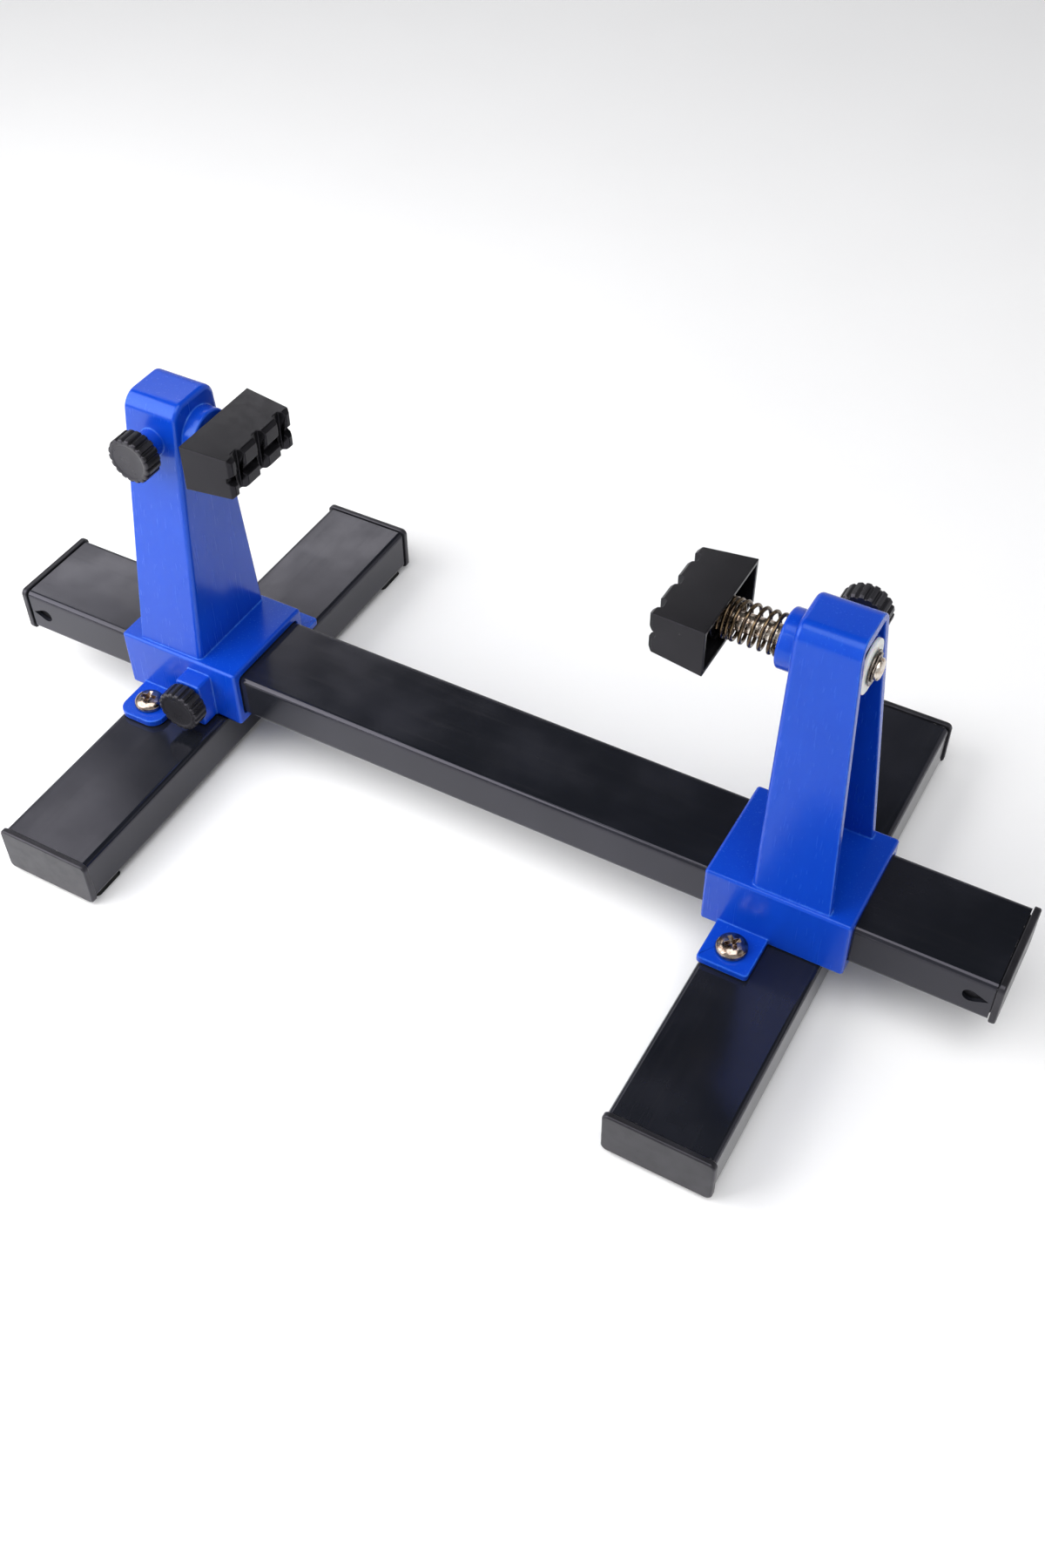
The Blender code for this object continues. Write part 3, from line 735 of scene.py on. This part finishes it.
def spring():
    """Coil round the shaft, closed at the jaw and open towards the boss on the head."""
    start = RIGHT_JAW_U + JAW_SEAT - GAP - WIRE_R
    end = BOSS_FACE_U + GAP + WIRE_R
    turns = DEAD_TURNS + OPEN_TURNS + 0.8
    pitch = (start - end - (DEAD_TURNS + 0.8) * DEAD_PITCH) / OPEN_TURNS
    per_turn = 48
    rings = []
    u = start
    for i in range(int(turns * per_turn) + 1):
        angle = 2 * pi * i / per_turn
        outward = Vector((0, cos(angle), sin(angle)))
        centre = Vector((u, 0, SHAFT_Z)) + outward * SPRING_R
        rings.append([centre + (outward * a + Vector((b, 0, 0))) for a, b in circle(WIRE_R, 14)])
        turn = i / per_turn
        blend_in = min(1.0, max(0.0, (turn - DEAD_TURNS + 0.25) / 0.5))
        blend_out = min(1.0, max(0.0, (DEAD_TURNS + OPEN_TURNS + 0.25 - turn) / 0.5))
        share = blend_in * blend_out
        u -= (DEAD_PITCH + (pitch - DEAD_PITCH) * share) / per_turn
    return smoothed(loft(rings))


# Screws


def knob(u, z, back_v):
    """Fluted head with eased rims and a face sunk a little below them."""
    front = back_v + KNOB_T
    count = len(fluted(1, 0))
    sections = [(fluted(KNOB_R - 0.5, 0.4), -back_v), (fluted(KNOB_R, 0.6), -back_v - 0.5)]
    for step in range(5):
        angle = pi / 2 * step / 4
        ring = fluted(KNOB_R - 0.7 * (1 - cos(angle)), 0.6 * (1 - 0.45 * step / 4))
        sections.append((ring, -front + 0.7 - 0.7 * sin(angle)))
    sections += [
        (circle(4.9, count), -front),
        (circle(4.75, count), -front + 0.12),
        (circle(4.6, count), -front + 0.15),
        (circle(2.0, count), -front + 0.15),
    ]
    body = stack(sections, "Y", (u, z))
    socket = turned(
        [(KNOB_SOCKET_R, -back_v - 4.0), (KNOB_SOCKET_R, -back_v + 1)], "Y", (u, z), 32
    )
    return smoothed(evaluated(body, *cut(socket)))


def stud(u, z, back_v, tip_v):
    """Thread drawn as plain rings, without a helix, up to an eased tip."""
    low, high = -back_v - STUD_IN_KNOB, -tip_v
    crest, root = STUD_R, STUD_R - THREAD_DEPTH
    profile = [(root, 0.0), (root, 0.18), (crest, 0.42), (crest, 0.58), (root, 0.82)]
    rings = []
    for row in range(int((high - low) / THREAD_PITCH) * len(profile) + 1):
        turn, part = divmod(row, len(profile))
        radius, share = profile[part]
        rings.append((radius, low + (turn + share) * THREAD_PITCH))
    rings = [ring for ring in rings if ring[1] < high - 0.5]
    rings += [(crest - 0.1, high - 0.4), (crest - 0.5, high)]
    return smoothed(turned(rings, "Y", (u, z), 28))


def tab_screw():
    """Pan-head screw with a tapered cross recess."""
    seat = COLLAR_BOTTOM + TAB_T + GAP
    crown = seat + SCREW_HEAD_H
    profile = [(1.3, FOOT_TOP - 6.0), (1.9, FOOT_TOP - 4.8), (1.9, seat), (SCREW_HEAD_R - 0.1, seat)]
    profile += [(SCREW_HEAD_R, seat + 0.15), (SCREW_HEAD_R, seat + 0.6)]
    for step in range(1, 9):
        angle = pi / 2 * step / 8
        profile.append(
            (0.9 + (SCREW_HEAD_R - 0.9) * cos(angle), seat + 0.6 + (SCREW_HEAD_H - 0.6) * sin(angle))
        )
    rings = []
    recess = ((0.8, 0.28, crown - 1.7), (2.15, 0.55, crown - 0.3), (2.5, 0.62, crown + 0.5))
    for reach, half, z in recess:
        arms = []
        for turn in range(4):
            c, s = cos(turn * pi / 2), sin(turn * pi / 2)
            for a, b in ((half, -half), (reach, -half), (reach, half)):
                arms.append((a * c - b * s, a * s + b * c, z))
        rings.append(arms)
    return smoothed(evaluated(turned(profile, count=64), *cut(loft(rings))), 0.07, 2)


# Pieces: each stands for its CAD node and rides on that node's body


def shown(node, mesh, material, matrix=Matrix.Identity(4), name=None):
    mesh = mesh.copy()
    mesh.transform(matrix)
    mesh.materials.clear()
    mesh.materials.append(material)
    look = bpy.data.objects.new(name or f"{node}_look", mesh)
    scene.collection.objects.link(look)
    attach(look, frame["nodes"][node]["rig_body"])
    if name is None:
        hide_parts(node)
    return look


shown("rail_tube", rail(), PAINT_X)
for side, end in (("left", -1), ("right", 1)):
    shown(f"rail_cap_{side}", cap(RAIL_LENGTH, end, RAIL_MIDDLE, "X"), CAP_BLACK)

STAND = stand()
FOOT = smoothed(tube(FOOT_LENGTH, PAD_H + TUBE_H / 2, "Y"))
FOOT_CAPS = [cap(FOOT_LENGTH, end, PAD_H + TUBE_H / 2, "Y") for end in (-1, 1)]
PAD = pad()
SCREW = tab_screw()
NYLON_WASHER = washer(NYLON_R, SHAFT_R + GAP, BOSS_BACK_U - NYLON_BACK, BOSS_BACK_U - GAP, 0.18)
STEEL_WASHER = washer(STEEL_R, 2.1, SHAFT_END_U + 1.72, SHAFT_END_U + 2.05, 0.08)
CLIP = clip(SHAFT_END_U + 1.25, SHAFT_END_U + 1.6)
HEAD_KNOB = knob(HEAD_KNOB_U, SHAFT_Z, HEAD_KNOB_BACK_V)
HEAD_STUD = stud(HEAD_KNOB_U, SHAFT_Z, HEAD_KNOB_BACK_V, SHAFT_R + GAP)
BASE_KNOB = knob(BLOCK_U, RAIL_MIDDLE, BLOCK_FRONT_V + GAP)
BASE_STUD = stud(BLOCK_U, RAIL_MIDDLE, BLOCK_FRONT_V + GAP, TUBE_W / 2 + GAP)

SIDES = (("left", LEFT_X, 0.0, LEFT_JAW_U), ("right", RIGHT_X, pi, RIGHT_JAW_U))
for side, x, half_turn, jaw_u in SIDES:
    there = Matrix.Translation((x * MM, 0, 0)) @ Matrix.Rotation(half_turn, 4, "Z")
    shown(f"{side}_stand", STAND, BLUE, there)
    shown(f"{side}_foot_tube", FOOT, PAINT_Y, there)
    for end, word, cap_mesh in ((-1, "knob", FOOT_CAPS[0]), (1, "far", FOOT_CAPS[1])):
        shown(f"{side}_foot_cap_{word}_side", cap_mesh, CAP_BLACK, there)
        at_end = there @ Matrix.Translation((0, end * PAD_V * MM, 0))
        shown(f"{side}_pad_{word}_side", PAD, RUBBER, at_end)
        on_tab = Matrix.Translation((end * TAB_U * MM, end * TAB_SCREW_V * MM, 0))
        # Each screw's cross stops at an angle of its own.
        twist = Matrix.Rotation(0.5 + 0.9 * end + x * 0.01, 4, "Z")
        shown(f"{side}_tab_screw_{word}_side", SCREW, NICKEL, there @ on_tab @ twist)
    shown(f"{side}_jaw", jaw(jaw_u), JAW_BLACK, there)
    shown(f"{side}_jaw_shaft", shaft(jaw_u), SHAFT_STEEL, there)
    shown(f"{side}_nylon_washer", NYLON_WASHER, NYLON, there)
    shown(f"{side}_steel_washer", STEEL_WASHER, DARK_STEEL, there)
    shown(f"{side}_steel_washer", CLIP, DARK_STEEL, there, f"{side}_retaining_clip")
    shown(f"{side}_head_knob", HEAD_KNOB, KNOB_BLACK, there)
    shown(f"{side}_head_stud", HEAD_STUD, NICKEL, there)
    shown(f"{side}_base_knob", BASE_KNOB, KNOB_BLACK, there)
    shown(f"{side}_base_stud", BASE_STUD, NICKEL, there)

turned_round = Matrix.Translation((RIGHT_X * MM, 0, 0)) @ Matrix.Rotation(pi, 4, "Z")
coil = shown("right_spring", spring(), BRONZE, turned_round)
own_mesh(coil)


def floor():
    f = Finish("pale_floor")
    colour = f.mix(f.ramp(f.noise(220, 3), 0.3, 0.7), (0.945, 0.945, 0.95), (0.96, 0.96, 0.965))
    f.bump((f.noise(0.8, 3), 0.02))
    material = f.finish(colour, f.ramp(f.noise(40, 3), 0.3, 0.7, 0.75, 0.9))
    mesh = bpy.data.meshes.new("floor")
    mesh.from_pydata([(3 * a, 3 * b, 0.0) for a, b in circle(1.0, 96)], [], [list(range(96))])
    mesh.materials.append(material)
    surface = bpy.data.objects.new("floor", mesh)
    scene.collection.objects.link(surface)


def surroundings():
    """Bright round the horizon, dark above, as in a light tent with its lid off."""
    world = bpy.data.worlds.new("studio")
    scene.world = world
    world.use_nodes = True
    nodes, links = world.node_tree.nodes, world.node_tree.links
    height = nodes.new("ShaderNodeSeparateXYZ")
    links.new(nodes.new("ShaderNodeTexCoord").outputs["Generated"], height.inputs[0])
    shade = nodes.new("ShaderNodeValToRGB")
    links.new(height.outputs["Z"], shade.inputs[0])
    stops = ((0.60, 0.55), (0.70, 0.06), (0.88, 0.02))
    while len(shade.color_ramp.elements) < len(stops):
        shade.color_ramp.elements.new(0.5)
    for element, (position, grey) in zip(shade.color_ramp.elements, stops):
        element.position = position
        element.color = (grey, grey, grey * 1.02, 1.0)
    links.new(shade.outputs[0], nodes["Background"].inputs["Color"])


floor()
surroundings()
